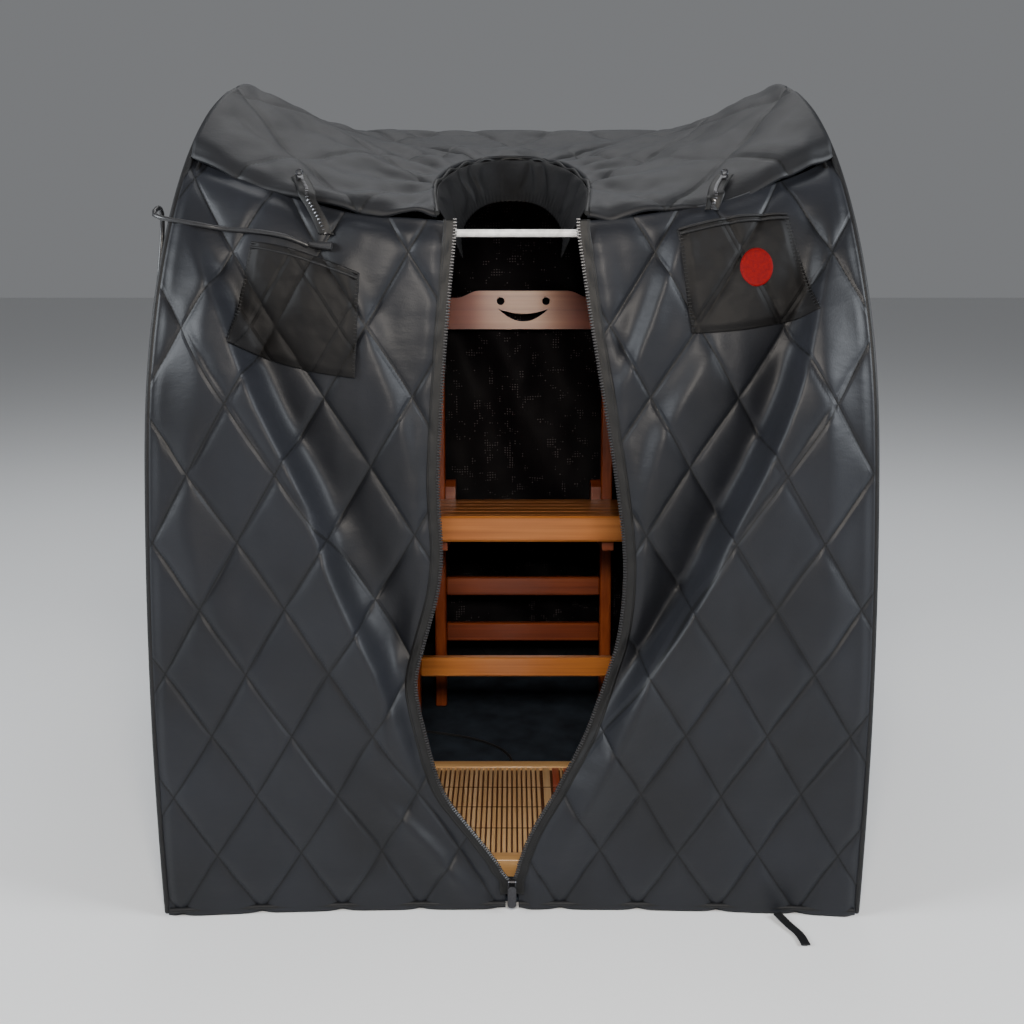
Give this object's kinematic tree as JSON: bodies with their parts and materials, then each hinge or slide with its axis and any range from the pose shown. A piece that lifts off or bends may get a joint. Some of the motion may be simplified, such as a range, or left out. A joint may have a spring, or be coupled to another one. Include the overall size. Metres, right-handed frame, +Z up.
{
  "type": "portable infrared sauna tent",
  "caption": "Pop-up one-person infrared sauna tent in quilted black nylon, open front zip, neck opening, with a folding bamboo chair and heated foot board inside.",
  "frame": {"origin": "on the floor, under the middle of the tent", "axes": "+Z up, +Y towards the back, the front zip faces -Y, +X to the right seen from the front"},
  "size_m": [0.836, 0.879, 0.943],
  "materials": {
    "quilted_nylon": "satin nylon, diamond quilted",
    "binding": "matt tape",
    "heater_mesh": "open mesh over heating sheet",
    "floor_mat": "coarse woven",
    "white_bar": "satin white",
    "black_plastic": "fine grain",
    "lead_rubber": "satin",
    "zip_teeth": "moulded grey",
    "dark_metal": "gunmetal",
    "bolt_steel": "plain steel",
    "dark_bamboo": "lacquered orange-brown bamboo",
    "pale_bamboo": "lacquered pale bamboo",
    "red_label": "embroidered",
    "window": "smoked window"
  },
  "bodies": {
    "tent": {"left_side_panel": "quilted_nylon", "right_side_panel": "quilted_nylon", "left_flap": "quilted_nylon", "right_flap": "quilted_nylon", "top_panel": "quilted_nylon", "back_panel": "quilted_nylon", "left_pocket": "quilted_nylon", "right_pocket": "quilted_nylon", "neck_collar": "binding", "left_hoop": "binding", "right_hoop": "binding", "tie_tape": "binding", "back_heater": "heater_mesh", "left_heater": "heater_mesh", "right_heater": "heater_mesh", "foot_pad_heater": "heater_mesh", "floor_mat": "floor_mat", "front_spreader_bar": "white_bar", "rear_spreader_bar": "white_bar", "front_bar_left_cap": "black_plastic", "front_bar_right_cap": "black_plastic", "control_box": "black_plastic", "pad_socket": "black_plastic", "lead_plug": "black_plastic", "plug_strain_relief": "black_plastic", "lead_sleeve": "black_plastic", "power_lead": "lead_rubber", "lead_coil": "lead_rubber", "pad_lead": "lead_rubber", "left_zip_teeth": "zip_teeth", "right_zip_teeth": "zip_teeth", "left_arm_zip": "zip_teeth", "right_arm_zip": "zip_teeth", "zip_slider": "dark_metal", "chair_left_post": "dark_bamboo", "chair_right_post": "dark_bamboo", "chair_top_rail": "dark_bamboo", "chair_lower_rung": "dark_bamboo", "chair_upper_rung": "dark_bamboo", "foot_pad_frame": "pale_bamboo", "foot_pad_deck": "pale_bamboo", "pocket_badge": "red_label", "control_window": "window"},
    "chair_seat": {"seat_deck": "dark_bamboo", "seat_front_board": "dark_bamboo", "seat_left_rail": "dark_bamboo", "seat_right_rail": "dark_bamboo", "seat_left_bolt": "bolt_steel", "seat_right_bolt": "bolt_steel", "leg_hinge_rod": "bolt_steel"},
    "front_legs": {"chair_left_front_leg": "dark_bamboo", "chair_right_front_leg": "dark_bamboo", "chair_front_rail": "dark_bamboo"},
    "main_zip_pull": {"zip_pull": "dark_metal"},
    "left_arm_slider": {"left_arm_slider": "dark_metal"},
    "right_arm_slider": {"right_arm_slider": "dark_metal"},
    "button_minus": {"button_minus": "white_bar"},
    "button_power": {"button_power": "white_bar"},
    "button_plus": {"button_plus": "white_bar"}
  },
  "joints": [
    {"name": "seat_fold", "type": "hinge", "parent": "tent", "child": "chair_seat", "pos_m": [0.018, 0.26075, 0.366], "axis": [-1, 0, 0], "range_deg": [0, 72]},
    {"name": "leg_fold", "type": "hinge", "parent": "chair_seat", "child": "front_legs", "pos_m": [0.018, 0.03527, 0.34789], "axis": [-1, 0, 0], "range_deg": [-67.5, 0]},
    {"name": "zip_pull_lift", "type": "hinge", "parent": "tent", "child": "main_zip_pull", "pos_m": [0, -0.3559, 0.031], "axis": [-1, 0, 0], "range_deg": [0, 150]},
    {"name": "left_arm_zip_open", "type": "slide", "parent": "tent", "child": "left_arm_slider", "axis": [0.266, -0.8667, -0.4219], "range_m": [0, 0.03]},
    {"name": "right_arm_zip_open", "type": "slide", "parent": "tent", "child": "right_arm_slider", "axis": [-0.2864, -0.8599, -0.4226], "range_m": [0, 0.03]},
    {"name": "button_minus_press", "type": "slide", "parent": "tent", "child": "button_minus", "axis": [-1, 0, 0], "range_m": [0, 0.0012], "stiffness_N_per_m": 400},
    {"name": "button_power_press", "type": "slide", "parent": "tent", "child": "button_power", "axis": [-1, 0, 0], "range_m": [0, 0.0012], "stiffness_N_per_m": 400},
    {"name": "button_plus_press", "type": "slide", "parent": "tent", "child": "button_plus", "axis": [-1, 0, 0], "range_m": [0, 0.0012], "stiffness_N_per_m": 400}
  ],
  "couplings": [
    {"joint": "leg_fold", "follows": "seat_fold", "ratio": -0.9375}
  ]
}
